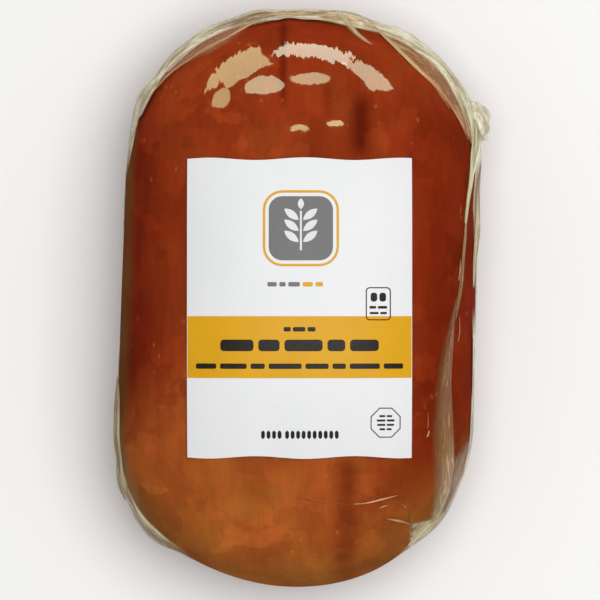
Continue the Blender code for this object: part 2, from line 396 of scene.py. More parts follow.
# The smoked meat. A band runs along the ham: place across, half width, start, end, tone, strength.
# Dark bands over the furrows are painted shade in them; the other bands are paler and darker streaks.
hamMeatLook = {
    "columns": 340, "rings": 130, "backRings": 70,
    "edgeSink": 0.0004, "clearance": 0.00012, "looseFrom": (0.0036, 0.0046), "depthShare": 0.994,
    "glossSlopes": (40.5, 44.0), "domeSlopes": (42.6, 44.3), "leastGloss": 0.02, "backGloss": 0.5,
    "domeFacing": (0.55, 0.8), "domeFlat": 0.12,
    # dome, rightShade and leftShade carry painted shade: a little on the domed end, more on the flanks
    "upper": (148, 52, 21), "label": (139, 49, 21), "lower": (161, 77, 32), "dome": (146, 48, 20),
    "rightShade": (120, 34, 12), "leftShade": (112, 28, 9), "leftRim": (104, 60, 25),
    "lowRight": (134, 52, 19), "amber": (184, 100, 42), "olive": (140, 82, 34),
    "back": (140, 58, 24), "dark": (92, 22, 8), "light": (152, 68, 26),
    "bands": (
        (-0.0069, 0.0016, 0.082, 0.134, "dark", 0.75),
        (0.0131, 0.0028, 0.078, 0.104, "dark", 0.35),
        (0.0285, 0.005, 0.06, 0.098, "dark", 0.9),
        (0.029, 0.001, 0.06, 0.08, "dark", 0.6),
        (0.0203, 0.0038, 0.076, 0.098, "light", 0.6),
        (0.0382, 0.0032, 0.06, 0.082, "light", 0.55),
        (-0.014, 0.014, 0.058, 0.086, "light", 0.35),
        (-0.045, 0.01, 0.056, 0.074, "light", 0.25),
        (0.0222, 0.0062, -0.14, -0.068, "dark", 0.5),
        (0.0222, 0.0034, -0.094, -0.068, "dark", 0.3),
        (-0.006, 0.009, -0.112, -0.072, "amber", 0.5),
        (-0.029, 0.013, -0.124, -0.086, "amber", 0.55),
        (0.044, 0.009, -0.112, -0.088, "amber", 0.25),
        (0.03, 0.017, -0.15, -0.106, "dark", 0.2),
    ),
    "bandEase": 0.012,
}
hamTones = {
    name: linear(tone) for name, tone in hamMeatLook.items()
    if isinstance(tone, tuple) and len(tone) == 3
}


# the meat's colour at a place: its smoked tones, with painted shade from the dome, rightShade and leftShade
# layers
def smokeAndShadeTone(x, y, lift):
    lowStart = -0.02 - 0.045 * smoothStep(0.03, 0.062, x)
    lowRight = smoothStep(0.027, 0.04, x) * smoothStep(-0.118, -0.096, y)
    rightSide = smoothStep(0.036, 0.066, x) * (1 - smoothStep(0.07, 0.11, y))
    leftSide = 1 - smoothStep(-0.08, -0.05, x)
    lower = 0.022 * (1 - smoothStep(-0.082, -0.064, x))
    edge = 1 - smoothStep(radians(8), radians(42), abs(lift))
    layers = [
        ("label", 1 - smoothStep(0.06, 0.1, y)),
        ("lower", 1 - smoothStep(lowStart - 0.055, lowStart, y)),
        ("dome", smoothStep(0.105, 0.125, y)),
        ("lowRight", 0.85 * lowRight * (1 - smoothStep(-0.07, -0.03, y))),
        ("rightShade", rightSide * smoothStep(-0.1, -0.06, y)),
        ("leftShade", leftSide * smoothStep(-0.06 - lower, -0.01 - lower, y)),
        ("leftRim", 0.8 * (1 - smoothStep(-0.08, -0.0745, x - hamForm["lean"] * y))),
        ("olive", 0.85 * edge * (1 - smoothStep(-0.095, -0.045, y))),
    ]
    ease = hamMeatLook["bandEase"]
    for place, width, start, end, name, strength in hamMeatLook["bands"]:
        away = abs((x - place) / width)
        if away < 2.5:
            along = max(0.0, smoothStep(start, start + ease, y) - smoothStep(end - ease, end, y))
            layers.append((name, strength * along * exp(-(away ** 2))))
    layers.append(("back", smoothStep(0.1, 0.6, -lift)))
    tone = hamTones["upper"]
    for name, share in layers:
        tone = mixed(tone, hamTones[name], share)
    return tone


def meatPoint(turn, lift):
    look = hamMeatLook
    point = bagPoint(turn, lift)
    share = max(0.0, cos(lift)) ** (2 / hamForm["outlinePower"])
    tent = exp(-((lift / tentSpread) ** 2))
    standoff = filmStandoff(turn)
    tight = max(1 - smoothStep(*look["looseFrom"], standoff), 0.72 * withinTurns(turn, 219, 247, 8))
    tight *= 1 - 0.5 * withinTurns(turn, -58, -8, 10)
    reach = rimReach(turn) * share + (standoff - look["clearance"]) * tight * tent
    reach -= look["edgeSink"] * share
    x, y = reach * cos(turn), reach * sin(turn)
    z = hamForm["rimHeight"] + (point.z - hamForm["rimHeight"]) * look["depthShare"]
    return Vector((x, y, z + hamRelief(x, y, lift))) + crownAt


def tightFilmFacing(turn, lift):
    # which way the tight film over the meat faces; it spans the furrows
    if abs(lift) > radians(86):
        return Vector((0.0, 0.0, copysign(1.0, lift)))

    def spanned(turnHere, liftHere):
        point = bagPoint(turnHere, liftHere)
        if liftHere > 0:
            point.z += furrowDepth(point.x, point.y) * smoothStep(0, furrowFade, liftHere)
        return point

    facing = bagNormal(turn, lift, spanned)
    if facing.z > 0:
        # over the domed end the film is drawn flatter than the meat
        level = max(hypot(facing.x, facing.y), 0.001)
        flatter = hamMeatLook["domeFlat"] * smoothStep(*hamMeatLook["domeFacing"], facing.y / level)
        slope = acos(min(facing.z, 1.0)) * (1 - flatter)
        reach = sin(slope) / level
        facing = Vector((facing.x * reach, facing.y * reach, cos(slope)))
    return facing


def filmGloss(facing):
    # the tight film shines where it faces up or down, and farther down the domed end
    look = hamMeatLook
    least = look["leastGloss"]
    if facing.z < 0:
        return least + (look["backGloss"] - least) * smoothStep(0.05, 0.4, -facing.z)
    slope = degrees(acos(min(facing.z, 1.0)))
    level = max(hypot(facing.x, facing.y), 0.001)
    domeward = smoothStep(*look["domeFacing"], facing.y / level)
    gentle, steep = mixed(look["glossSlopes"], look["domeSlopes"], domeward)
    return least + (1 - least) * (1 - smoothStep(gentle, steep, slope))


def makeMeatMaterial():
    material = newMaterial("smokedMeat")
    tone = readAttribute("smokeAndShadeTone", "Color")
    blotch = mapRange(objectNoise((70, 34, 70), 4.0, 0.55, 0.4), 0.3, 0.7, 0.87, 1.13)
    grain = mapRange(objectNoise((420, 40, 160), 3.0, 0.6), 0.3, 0.7, 0.93, 1.07)
    # muscle patches are cells with bent borders
    place = objectPlace((46, 60, 46))
    warp = addNode("TexNoise", {"Vector": place, "Scale": 1.4, "Detail": 3.0}).outputs["Color"]
    bent = vectorMath("MULTIPLY_ADD", {0: warp, 1: (1.8, 1.8, 1.8), 2: place})
    cells = addNode("TexVoronoi", {
        "Vector": bent, "Scale": 1.0, "Smoothness": 0.22}, feature="SMOOTH_F1").outputs["Color"]
    muscle = addNode("SeparateColor", {"Color": cells}).outputs
    shade = mathNode("MULTIPLY", blotch, grain)
    shade = mathNode("MULTIPLY", shade, mapRange(muscle["Red"], 0.0, 1.0, 0.86, 1.12))
    shaded = vectorMath("SCALE", {0: tone, "Scale": shade})
    warmth = mapRange(objectNoise((38, 20, 38), 3.0), 0.4, 0.64, 0.0, 0.35)
    warmth = mathNode("ADD", warmth, mapRange(muscle["Green"], 0.35, 0.8, 0.0, 0.45))
    warmer = mixColour(1.0, shaded, (1.1, 1.42, 1.25), "MULTIPLY")
    colour = mixColour(warmth, shaded, warmer)
    # small pale flecks: painted glints of the film
    spots = addNode("TexVoronoi", {
        "Vector": objectPlace((150, 105, 150)), "Scale": 1.0})
    glintFleck = mapRange(spots.outputs["Distance"], 0.04, 0.17, 0.4, 0.0)
    where = mapRange(objectNoise((30, 30, 30), 1.0), 0.46, 0.62)
    colour = mixColour(mathNode("MULTIPLY", glintFleck, where), colour, linear((214, 122, 72)))
    # the film's own facing, a little uneven, with teeth where it is steep
    facing = readAttribute("filmFacing", "Vector")
    upright = addNode("SeparateXYZ", {"Vector": facing}).outputs["Z"]
    teeth = mapRange(objectNoise((560, 50, 200), 2.0, 0.6), 0.3, 0.7, -0.036, 0.036)
    teeth = mathNode("MULTIPLY", teeth, mapRange(upright, 0.8, 0.87, 1.0, 0.1))
    bend = mapRange(objectNoise((110, 90, 110), 1.0), 0.3, 0.7, -0.013, 0.013)
    tilt = addNode("CombineXYZ", {
        "X": mapRange(objectNoise((45, 40, 45), 1.0), 0.3, 0.7, -0.01, 0.01),
        "Y": mathNode("ADD", teeth, bend)}).outputs["Vector"]
    leaning = vectorMath("ADD", {0: facing, 1: tilt})
    return finishMaterial(material, {
        "Base Color": colour, "Roughness": 0.42, "Specular IOR Level": 0.0,
        "Coat Weight": readAttribute("filmGloss", "Fac"), "Coat Roughness": 0.035,
        "Coat IOR": 1.45, "Coat Normal": vectorMath("NORMALIZE", {0: leaning}),
        "Normal": addBump(blotch, 0.0004)})


def makeHamMeat():
    look = hamMeatLook
    meat, places = addShell("hamMeat", look["columns"], look["rings"], look["backRings"], meatPoint)
    addAttribute(meat, "smokeAndShadeTone", "FLOAT_COLOR", [
        smokeAndShadeTone(vertex.co.x - crownAt.x, vertex.co.y - crownAt.y, lift)
        for vertex, (turn, lift) in zip(meat.data.vertices, places)])
    facings = [tightFilmFacing(*place) for place in places]
    addAttribute(meat, "filmFacing", "FLOAT_VECTOR", facings)
    addAttribute(meat, "filmGloss", "FLOAT", [filmGloss(facing) for facing in facings])
    finishPiece(meat, makeMeatMaterial())
    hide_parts("bagged_ham")


makeHamMeat()
print("meat done")

# The film's skin, unseen where it is tight and milky where it stands off or is doubled.
filmSkinLook = {
    "columns": 420, "rings": 120, "backRings": 60, "plain": (190, 172, 134),
    "crumple": 0.0003, "crumpleUp": 15, "lineTone": (240, 216, 164), "lineReach": 0.8, "wobble": 3.0,
    "underReach": 13,
}

# Milky margins round the rim: start, end and ease in turn, how milky, reach in lift, and tone.
filmMargins = (
    (22, 44, 8, 0.5, 11.0, (206, 190, 150)),
    (36, 76, 8, 0.86, 10.5, (222, 216, 178)),
    (44, 55, 8, 0.42, 10.5, (150, 132, 84)),
    (74, 99, 8, 0.9, 10.5, (196, 168, 110)),
    (98, 109, 6, 0.93, 10.5, (152, 122, 70)),
    (108, 128, 8, 0.84, 10.5, (216, 208, 168)),
    (127, 141, 8, 0.9, 9.5, (166, 146, 98)),
    (140, 158, 10, 0.55, 4.0, (190, 176, 128)),
    (198, 222, 8, 0.5, 4.0, (186, 162, 112)),
    (222, 243, 8, 0.6, 9.5, (150, 118, 66)),
    (294, 309, 6, 0.88, 8.0, (190, 170, 124)),
    (308, 330, 8, 0.75, 8.0, (182, 146, 98)),
    (328, 352, 12, 0.88, 8.2, (214, 184, 136)),
    (352, 384, 12, 0.5, 4.0, (160, 124, 84)),
)

# Veils of doubled film, each below its edge: (turn, lift) points, softness, milkiness and tone.
filmVeils = {
    "topRight": (
        ((40, 6), (44.2, 15.8), (50.8, 19.5), (58.4, 21.8), (66.8, 19.3), (71.6, 12.6), (78, 3)),
        1.0, 0.66, (180, 120, 46)),
    "topLeft": (
        ((97, 4), (99.6, 10.9), (102.4, 16.8), (106, 20.7), (110, 21.5), (118, 14), (126, 9)),
        2.0, 0.42, (206, 142, 96)),
    "lowRight": (
        ((-60, 3), (-56.9, 6), (-53.6, 12), (-50.4, 21), (-46.5, 24), (-42, 16), (-37, 3)),
        4.0, 0.6, (150, 98, 40)),
    "corner": (
        ((-66.4, 3), (-65.2, 12), (-63.6, 23), (-61.5, 19), (-58.9, 13), (-55, 6)),
        1.0, 0.84, (190, 168, 118)),
    "lowLeft": (
        ((-150, 5), (-144, 13), (-136, 15), (-126, 13), (-118, 8), (-112, 4)),
        5.0, 0.3, (142, 104, 42)),
}


def edgeLift(edge, compass):
    # how high a veil's edge is at a turn, and 0 outside it
    for (fromTurn, fromLift), (toTurn, toLift) in zip(edge, edge[1:]):
        if fromTurn <= compass <= toTurn:
            return fromLift + (toLift - fromLift) * (compass - fromTurn) / (toTurn - fromTurn)
    return 0.0


def filmCover(turn, lift):
    # how milky the film is at a place, and its tone
    look = filmSkinLook
    up, compass = degrees(lift), degrees(turn)
    layers = []
    for edge, soft, milky, tone in filmVeils.values():
        top = edgeLift(edge, compass)
        if top > 0 and up > -6:
            share = 1 - smoothStep(top - soft, top + soft, up)
            layers.append((milky * share * smoothStep(0, 3, top), tone))
    for start, end, ease, milky, reach, tone in filmMargins:
        share = withinTurns(turn, start, end, ease)
        if share > 0:
            reach += look["wobble"] * noise.noise(Vector((compass / 9, start, 0.5)))
            upper = 1 - smoothStep(reach - 1.2, reach + 1.2, up)
            layers.append((milky * share * upper * (1 - smoothStep(0, look["underReach"], -up)), tone))
            if reach > 8:
                line = exp(-(((up - reach + 0.6) / look["lineReach"]) ** 2))
                layers.append((0.55 * share * line, look["lineTone"]))
    cover, shown = 0.0, linear(look["plain"])
    for share, tone in layers:
        if share > 0.001:
            both = cover + share - cover * share
            shown = mixed(shown, linear(tone), share / both)
            cover = both
    return min(cover, 0.97), shown


def filmPoint(turn, lift):
    look = filmSkinLook
    point = bagPoint(turn, lift)
    slack = min(1.0, (filmStandoff(turn) - filmClose) / 0.0016)
    rim = exp(-((degrees(lift) / 12) ** 2))
    around = Vector((cos(turn), sin(turn), 0.0))
    fold = noise.noise(around * 5 + Vector((0.0, 0.0, lift * look["crumpleUp"])))
    point -= around * (look["crumple"] * slack * rim * 2.4 * abs(fold))
    point.z += hamRelief(point.x, point.y, lift)
    return point + crownAt


def ridgeLines(value, level, reach, strength):
    # thin lines where a noise passes one level
    off = mathNode("ABSOLUTE", mathNode("SUBTRACT", value, level))
    return mapRange(off, 0.0, reach, strength, 0.0)


def makeFilmMaterial():
    material = newMaterial("clearFilm")
    slack = readAttribute("filmSlack", "Fac")
    tone = readAttribute("filmTone", "Color")
    streak = attributeNoise("rimPlace", (6.5, 6.5, 22.0), 3.0, 0.6, 0.6)
    fine = attributeNoise("rimPlace", (19.0, 19.0, 95.0), 2.0, 0.6, 0.5)
    share = mathNode("ADD", mathNode("MULTIPLY", streak, 0.7), mathNode("MULTIPLY", fine, 0.3))
    deep = mixColour(1.0, tone, (0.56, 0.48, 0.31), "MULTIPLY")
    pale = mixColour(0.5, tone, linear((250, 246, 216)))
    colour = mixColour(mapRange(share, 0.41, 0.48), deep, tone)
    colour = mixColour(mapRange(share, 0.51, 0.58), colour, pale)
    # thin bright lines along the streaks: painted glints on the film's crinkles
    colour = mixColour(ridgeLines(streak, 0.53, 0.012, 0.9), colour, linear((252, 248, 226)))
    colour = mixColour(ridgeLines(fine, 0.41, 0.018, 0.8), colour, linear((76, 56, 20)))
    thin = mapRange(streak, 0.32, 0.62, 0.86, 1.1)
    return finishMaterial(material, {
        "Base Color": mixColour(mapRange(slack, 0.55, 0.8, 0.12, 1.0), tone, colour),
        "Alpha": mathNode("MULTIPLY", slack, thin, True),
        "Roughness": 0.22, "Specular IOR Level": 0.25,
        "Normal": addBump(fine, 0.0002, Normal=addBump(streak, 0.0003))})


def makeFilmSkin():
    look = filmSkinLook
    skin, places = addShell("filmSkin", look["columns"], look["rings"], look["backRings"], filmPoint)
    covers = [filmCover(*place) for place in places]
    addAttribute(skin, "filmSlack", "FLOAT", [cover for cover, tone in covers])
    addAttribute(skin, "filmTone", "FLOAT_COLOR", [tone for cover, tone in covers])
    addAttribute(skin, "rimPlace", "FLOAT_VECTOR", [
        (cos(turn), sin(turn), lift * 0.8) for turn, lift in places])
    finishPiece(skin, makeFilmMaterial())
    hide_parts("bagged_ham")


makeFilmSkin()
print("film skin done")

# Folds of film: route as (turn, lift); width, how milky and tone at the start, middle and end;
# height and number of ridges; then, for some, the side that fades out and how the ends taper.
filmFolds = {
    "rightPleatLong": (
        ((45.5, 2), (41, 8), (38.5, 12.8), (33.3, 17.6), (30, 20), (26.3, 21.9), (23.5, 22.6)),
        (0.009, 0.005, 0.0014), (0.95, 0.92, 0.92),
        ((216, 208, 166), (196, 184, 136), (214, 202, 144)), 0.0008, 2, 0, 0.25),
    "rightPleatFaint": (
        ((27, 21), (20.7, 22.4), (13, 24), (4.6, 25.7), (-2.5, 28.2), (-9, 30)),
        (0.003, 0.0036, 0.0034), (0.7, 0.66, 0.5),
        ((164, 126, 82), (160, 116, 66), (140, 92, 46)), 0.0005, 1),
    # the near-white ribbon on the pleat's crest is its painted highlight
    "rightPleatCrest": (
        ((41.5, 1), (38.6, 8), (35.5, 15.5), (31.5, 20), (28, 22)),
        (0.0009, 0.0018, 0.001), (0.9, 1.0, 0.95),
        ((246, 242, 220), (255, 252, 238), (240, 230, 190)), 0.0012, 1),
    "rightPleatEdge": (
        ((37, 2), (32.3, 4.5), (27.6, 5), (22.4, 5.5), (15.3, 7), (8.5, 8.5), (3, 9)),
        (0.004, 0.012, 0.0034), (0.8, 0.9, 0.88),
        ((176, 136, 106), (196, 166, 130), (222, 202, 160)), 0.0007, 3),
    "rightPleatUnder": (
        ((41, -13), (28, -9), (12, -10), (-6, -15)), (0.0042, 0.0036, 0.0022), (0.8, 0.65, 0.4),
        ((190, 170, 134), (190, 170, 134), (180, 160, 124)), 0.0012, 2),
    "foldOverStrip": (
        ((2, 29), (-7, 32), (-15.6, 34.5), (-29.5, 37.6), (-40.5, 37.6), (-47, 32.6), (-53, 22),
         (-57.5, 13), (-60.5, 6)),
        (0.003, 0.0156, 0.017), (0.5, 0.62, 0.86),
        ((146, 88, 42), (150, 96, 50), (190, 160, 110)), 0.0004, 1, 1),
    "cornerPatch": (
        ((-55, 5), (-58, 8), (-61, 9), (-64, 9), (-66, 7)), (0.003, 0.008, 0.008), (0.7, 0.85, 0.8),
        ((184, 160, 114), (206, 190, 146), (194, 174, 128)), 0.0006, 1),
    "topRightCrease": (
        ((76.5, 2), (71.6, 12.6), (66.8, 19.3), (62.5, 22.4), (58.4, 22.2), (54.6, 21.4),
         (50.8, 19.8), (47.2, 17.6), (44.2, 16)),
        (0.0026, 0.0032, 0.0024), (0.8, 0.78, 0.7),
        ((224, 194, 138), (206, 146, 92), (196, 136, 80)), 0.0008, 1, -1),
    "topRightShortCrease": (
        ((82.5, 3), (80.1, 10.6), (77.7, 18), (75.4, 21.3), (73.6, 22.4)),
        (0.005, 0.0044, 0.002), (0.92, 0.82, 0.55),
        ((238, 222, 174), (222, 186, 132), (204, 138, 94)), 0.0006, 1, 1, 0.35),
    "topLeftPleat": (
        ((128, 10), (120, 13), (113, 17), (106, 18), (100, 12), (96, 10)),
        (0.0014, 0.0024, 0.0016), (0.45, 0.6, 0.6),
        ((206, 152, 110), (204, 148, 104), (214, 180, 128)), 0.0006, 2),
    "leftPleatUpper": (
        ((204, 5), (210, 9), (217, 10), (224, 9), (229, 6)), (0.0008, 0.0015, 0.0014), (0.55, 0.85, 0.85),
        ((170, 148, 110), (206, 192, 150), (190, 172, 128)), 0.0009, 1),
    "leftPleatLower": (
        ((203, -1), (212, 1), (221, 1), (230, -1)), (0.001, 0.002, 0.0016), (0.7, 0.85, 0.85),
        ((200, 186, 150), (186, 168, 128), (180, 164, 124)), 0.0012, 1),
    "backPleatRight": (
        ((28, -24), (8, -34), (-14, -36), (-34, -30)), (0.004, 0.006, 0.004), (0.55, 0.5, 0.4),
        ((190, 168, 130), (190, 168, 130), (184, 162, 124)), 0.0012, 2),
    "backPleatLeft": (
        ((150, -20), (172, -32), (194, -34), (216, -26)), (0.004, 0.006, 0.004), (0.5, 0.5, 0.4),
        ((190, 168, 130), (190, 168, 130), (184, 162, 124)), 0.0012, 2),
}

# Fine creases in the film, coloured as painted glints along them, joined in one piece: route, width, how
# milky and tone.
creaseGlints = (
    (((-89.8, 50.4), (-82.5, 48.5), (-75.4, 45.3)), 0.0007, 0.55, (198, 116, 70)),
    (((-75.6, 45.4), (-69.3, 42.3), (-66, 40.4), (-63.1, 38.5)), 0.0013, 1.0, (250, 168, 118)),
    (((-69.2, 39.3), (-67.8, 38.8), (-66.4, 37.9)), 0.0009, 0.85, (240, 160, 116)),
    (((-63.4, 35.4), (-62.9, 32.6), (-62.8, 31.2)), 0.0009, 0.7, (214, 150, 96)),
    (((-68.4, 34), (-66.8, 31.4), (-65, 27.6), (-63.3, 22.4)), 0.0016, 0.85, (206, 152, 98)),
    (((-62.6, 30), (-62.9, 26), (-63.4, 22), (-64.6, 12)), 0.0009, 0.7, (176, 134, 78)),
    (((-41.3, 45), (-44, 44), (-45.6, 43.4)), 0.0009, 0.7, (196, 120, 76)),
    (((-45.2, 42.6), (-46.6, 42.4), (-47.4, 42.9)), 0.001, 0.9, (240, 176, 120)),
    (((-50.8, 22.8), (-52.6, 19.4), (-54.6, 15)), 0.0012, 1.0, (255, 240, 186)),
    (((-51.0, 20.8), (-53.2, 16.6), (-55.4, 11.5)), 0.0008, 0.85, (214, 194, 148)),
    (((30, 27), (28.5, 27.6), (27, 28)), 0.0008, 0.4, (190, 110, 70)),
    (((13.5, 26.6), (9.5, 27), (6, 28)), 0.0008, 0.8, (214, 176, 126)),
    (((-6, 26.6), (-12, 26.4), (-16, 28)), 0.0007, 0.6, (196, 160, 116)),
    (((57.5, 23), (54.5, 23.5), (51, 22)), 0.0009, 0.65, (206, 134, 92)),
)
foldShape = {
    "steps": 90, "columns": 14, "sink": 0.00025, "film": 0.00012, "ridgeHeight": 0.00035,
    "tip": 0.05, "taper": 0.55, "waver": 0.0003, "waverScale": 90,
}


def alongRoute(points, share):
    # a smooth way through a fold's points
    spans = len(points) - 1
    span = min(int(share * spans), spans - 1)
    t = share * spans - span
    p0 = Vector(points[max(span - 1, 0)])
    p1 = Vector(points[span])
    p2 = Vector(points[span + 1])
    p3 = Vector(points[min(span + 2, spans)])
    straight = (p2 - p0) * t + (2 * p0 - 5 * p1 + 4 * p2 - p3) * t ** 2
    return p1 + 0.5 * (straight + (3 * p1 - p0 - 3 * p2 + p3) * t ** 3)


def overThree(values, share):
    first, middle, last = values
    if share < 0.5:
        return first + (middle - first) * share * 2
    return middle + (last - middle) * (share * 2 - 1)


def surfaceAt(angles):
    turn, lift = radians(angles[0]), radians(angles[1])
    point = bagPoint(turn, lift)
    point.z += hamRelief(point.x, point.y, lift)
    return point, turn, lift


def makeFoldMaterial(name):
    material = newMaterial(name)
    milky = readAttribute("foldMilky", "Fac")
    base = readAttribute("foldTone", "Color")
    body = attributeNoise("foldPlace", (60.0, 1.6, 1.0), 3.0, 0.55, 0.2)
    lines = attributeNoise("foldPlace", (30.0, 1.7, 1.0), 2.0, 0.5, 0.2)
    fine = attributeNoise("foldPlace", (45.0, 4.6, 1.0), 2.0, 0.5, 0.1)
    deep = mixColour(1.0, base, (0.62, 0.56, 0.44), "MULTIPLY")
    pale = mixColour(0.35, base, linear((238, 228, 196)))
    colour = mixColour(mapRange(body, 0.36, 0.64), deep, pale)
    colour = mixColour(ridgeLines(fine, 0.44, 0.022, 0.55), colour, linear((66, 40, 16)))
    # thin bright lines: painted glints on the film's crinkles
    glintLines = ridgeLines(lines, 0.52, 0.018, 0.75)
    colour = mixColour(glintLines, colour, linear((246, 238, 208)))
    thin = mathNode("ADD", mapRange(body, 0.36, 0.64, 0.86, 1.08), glintLines)
    return finishMaterial(material, {
        "Base Color": mixColour(mapRange(milky, 0.66, 0.92, 0.15, 1.0), base, colour),
        "Alpha": mathNode("MULTIPLY", milky, thin, True),
        "Roughness": 0.22, "Specular IOR Level": 0.25,
        "Normal": addBump(fine, 0.0002, Normal=addBump(lines, 0.0004))})


def addFoldValues(piece, milky, places, tones):
    addAttribute(piece, "foldMilky", "FLOAT", milky)
    addAttribute(piece, "foldPlace", "FLOAT_VECTOR", places)
    addAttribute(piece, "foldTone", "FLOAT_COLOR", tones)


def routeLength(route):
    points = [surfaceAt(alongRoute(route, step / 20))[0] for step in range(21)]
    return sum((b - a).length for a, b in zip(points, points[1:]))


def layFold(name, fold, steps, columns):
    # one ribbon of film along its route
    shape = foldShape
    route, widths, milks, tints, height, ridges, *extra = fold
    softSide = extra[0] if extra else 0
    tapering = extra[1] if len(extra) > 1 else shape["taper"]
    deselectAll()
    bpy.ops.mesh.primitive_grid_add(x_subdivisions=steps, y_subdivisions=columns, size=2)
    piece = namedPiece(name)
    length = routeLength(route)
    channels = list(zip(*[linear(tone) for tone in tints]))
    milky, places, tones = [], [], []
    for vertex in piece.data.vertices:
        share, column = (vertex.co.x + 1) / 2, vertex.co.y
        here, turn, lift = surfaceAt(alongRoute(route, share))
        ahead = surfaceAt(alongRoute(route, min(share + 0.02, 1.0)))[0]
        behind = surfaceAt(alongRoute(route, max(share - 0.02, 0.0)))[0]
        normal = bagNormal(turn, lift)
        across = normal.cross(ahead - behind).normalized()
        taper = sin(pi * (shape["tip"] + (1 - 2 * shape["tip"]) * share)) ** tapering
        width = overThree(widths, share)
        waver = shape["waver"] * noise.noise(Vector((here.x, here.y, column * 0.02)) * shape["waverScale"])
        ripple = abs(sin(pi * ridges * (column + 1) / 2 + 5 * share))
        ridge = min(shape["ridgeHeight"], width * 0.15) * (1 - ripple)
        crest = (height * (1 - column ** 2) + ridge * (1 - column ** 4) + shape["sink"]) * taper
        vertex.co = here + across * (column * width / 2 * taper + waver * (1 - abs(column)))
        vertex.co += normal * (crest - shape["sink"]) + crownAt
        edge = smoothStep(-1.0, 0.4, column * softSide)
        if not softSide:
            edge = 1 - smoothStep(0.8, 1.0, abs(column)) * 0.4
        milky.append(overThree(milks, share) * edge * smoothStep(0.0, 0.1, min(share, 1 - share)))
        tones.append(tuple(overThree(channel, share) for channel in channels))
        places.append((share * length, column, len(name) * 1.7))
    addFoldValues(piece, milky, places, tones)
    thicken(piece, "film", shape["film"], -1)
    return piece


def makeCreaseGlints():
    lines = []
    for number, (route, width, milky, tone) in enumerate(creaseGlints):
        crease = (route, (width * 0.5, width, width * 0.5), (milky * 0.7, milky, milky * 0.7),
                  (tone,) * 3, width * 0.5, 1)
        lines.append(layFold("crease%02d" % number, crease, 36, 4))
    selectOnly(*lines)
    bpy.ops.object.join()
    piece = namedPiece("creaseGlints")
    finishPiece(piece, makeFoldMaterial("creaseFilm"))
    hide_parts("bagged_ham")


for foldName, foldValues in filmFolds.items():
    ribbon = layFold(foldName, foldValues, foldShape["steps"], foldShape["columns"])
    finishPiece(ribbon, makeFoldMaterial(foldName + "Film"))
    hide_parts("bagged_ham")
makeCreaseGlints()
print("folds done")

# The gathered end of the bag: a ruffled cushion of film.
gatherTuft = {
    "at": (44.9, 0), "facing": 18, "size": (0.0064, 0.0096, 0.006), "columns": 96, "rings": 56,
    "ruffles": ((5, 2.0, 0.07), (9, 3.5, 0.04), (3, 6.0, 0.09), (15, 5.0, 0.02)),
    "crumple": 0.05, "tone": (252, 248, 236), "shadeTone": (222, 212, 186),
}


def makeGather():
    tuft = gatherTuft
    turn, lift = (radians(angle) for angle in tuft["at"])
    deselectAll()
    bpy.ops.mesh.primitive_uv_sphere_add(segments=tuft["columns"], ring_count=tuft["rings"], radius=1.0)
    piece = namedPiece("gatherTuft")
    centre = bagPoint(turn, lift) + crownAt
    turned = Matrix.Rotation(radians(tuft["facing"]), 3, "Z")
    pale, shade = linear(tuft["tone"]), linear(tuft["shadeTone"])
    milky, places, tones = [], [], []
    for vertex in piece.data.vertices:
        x, y, z = vertex.co
        around, level = atan2(y, x), hypot(x, y)
        swell = 1.0
        for count, climb, depth in tuft["ruffles"]:
            swell += depth * level * sin(count * around + climb * z)
        swell += tuft["crumple"] * (noise.noise(vertex.co * 3.1) + 0.6 * noise.noise(vertex.co * 7.3))
        hollow = smoothStep(-0.15, 0.35, noise.noise(Vector((x * 5, y * 1.6, 2.2))))
        tones.append(mixed(pale, shade, hollow))
        places.append((around * 0.012, level * 2.6, 4.0))
        milky.append(0.9 + 0.1 * noise.noise(vertex.co * 4.0))
        vertex.co = centre + turned @ Vector([a * b * swell for a, b in zip((x, y, z), tuft["size"])])
    addFoldValues(piece, milky, places, tones)
    finishPiece(piece, makeFoldMaterial("gatheredFilm"))
    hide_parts("bagged_ham")


makeGather()
print("gathered end done")


def labelFloor(x, y):
    # the paper's underside over a place, a little buckled at its edges
    size = labelSize
    across = (x - size["middle"][0]) / size["width"]
    along = (y - size["middle"][1]) / size["height"]
    toEnd = (0.5 - abs(along)) * size["height"]
    buckle = size["buckle"] * exp(-toEnd / size["buckleReach"])
    buckle *= 1 + sin(2 * pi * size["buckles"] * across + 1.0 + 2 * along)
    turn = atan2(y, x)
    reached = min(1.0, hypot(x, y) / rimReach(turn))
    smooth = bagPoint(turn, acos(reached ** (hamForm["outlinePower"] / 2))).z + furrowDepth(x, y)
    return smooth + size["gap"] + buckle


def makeLabelMaterial():
    material = newMaterial("labelPaper")
    cloud = mapRange(objectNoise((22, 9, 22), 2.0), 0.35, 0.65)
    fibre = objectNoise((900, 500, 900), 3.0, 0.6)
    colour = mixColour(cloud, linear((226, 227, 228)), linear((231, 231, 232)))
    return finishMaterial(material, {
        "Base Color": mixColour(
            mapRange(fibre, 0.35, 0.65, 0.0, 0.25), colour, linear((220, 220, 221))),
        "Roughness": 0.55, "Specular IOR Level": 0.3, "Normal": addBump(fibre, 0.00003)})


def makeLabel():
    size = labelSize
    deselectAll()
    bpy.ops.mesh.primitive_grid_add(
        x_subdivisions=size["columns"], y_subdivisions=size["rows"], size=1.0)
    sheet = namedPiece("labelSheet")
    for vertex in sheet.data.vertices:
        wave = size["wave"] * sin(2 * pi * size["waves"] * vertex.co.x + size["wavePhase"])
        x = size["middle"][0] + size["width"] * vertex.co.x
        y = size["middle"][1] + (size["height"] + 2 * wave) * vertex.co.y
        vertex.co = Vector((x, y, labelFloor(x, y))) + crownAt
    thicken(sheet, "paper", size["paper"], 1)
    finishPiece(sheet, makeLabelMaterial(), 40)
    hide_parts("label")


makeLabel()
print("label done")

